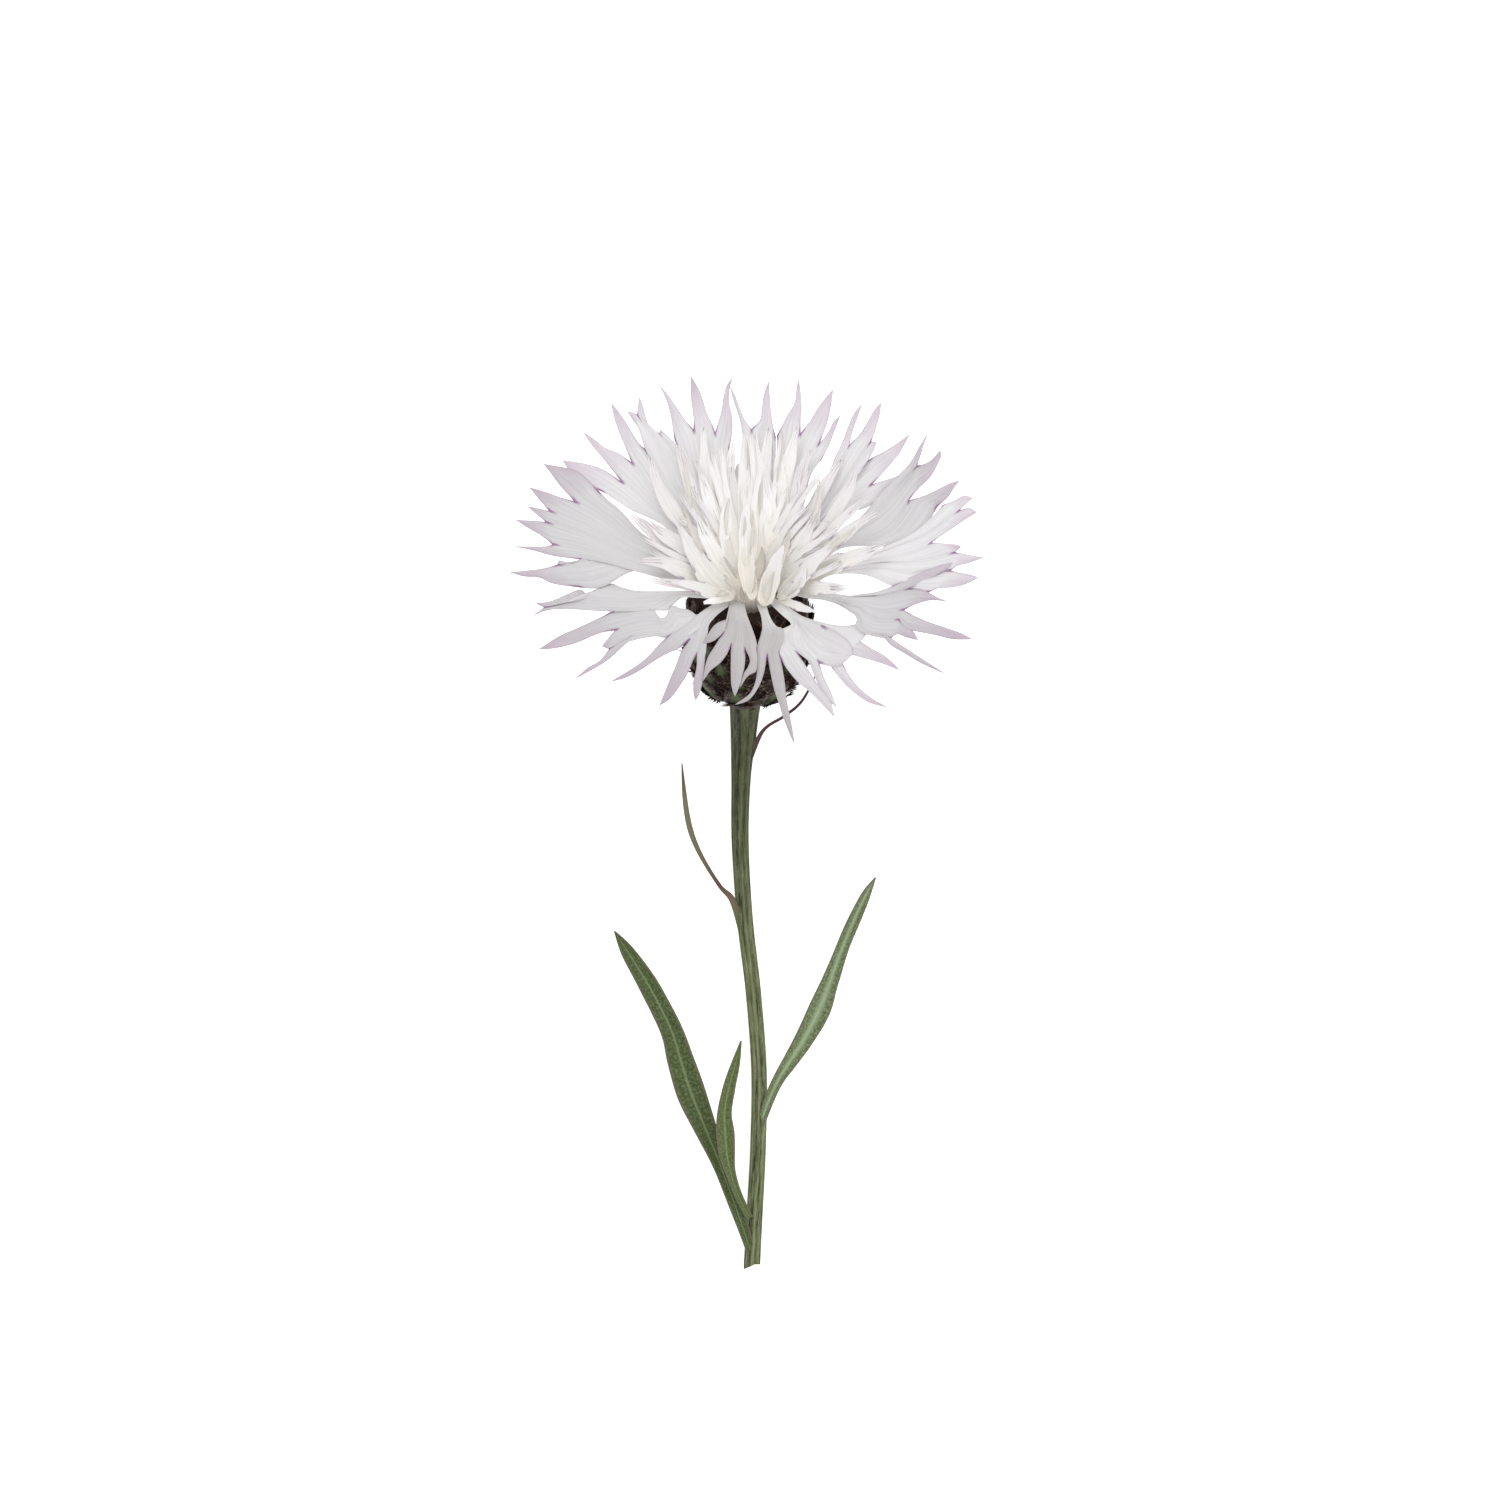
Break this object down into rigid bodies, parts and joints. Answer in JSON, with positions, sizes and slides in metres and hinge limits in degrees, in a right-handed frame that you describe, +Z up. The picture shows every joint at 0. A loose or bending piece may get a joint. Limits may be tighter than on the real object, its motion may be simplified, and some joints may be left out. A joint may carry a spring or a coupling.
{
  "type": "cut cornflower",
  "caption": "Cut flower laid down: a bloom of lobed ray florets round a tuft of narrow disc florets, on a scaly cup, with a ribbed stem and narrow leaves.",
  "frame": {"origin": "on the table, under the middle of the flower's bounding box", "axes": "+Z up from the table, +Y from the cut end of the stem towards the bloom, +X to the right as seen from above"},
  "size_m": [0.06, 0.116, 0.0379],
  "materials": {
    "petal_white": "matt",
    "petal_cream": "matt",
    "scale_brown": "matt",
    "stem_green": "satin",
    "leaf_green": "matt"
  },
  "bodies": {
    "root": {"ray_florets": "petal_white", "disc_florets": "petal_cream", "involucre": "scale_brown", "stem": "stem_green", "leaf_lower_left": "leaf_green", "leaf_axil": "leaf_green", "leaf_right": "leaf_green", "leaf_upper_left": "leaf_green", "leaf_top_right": "leaf_green"}
  },
  "joints": []
}
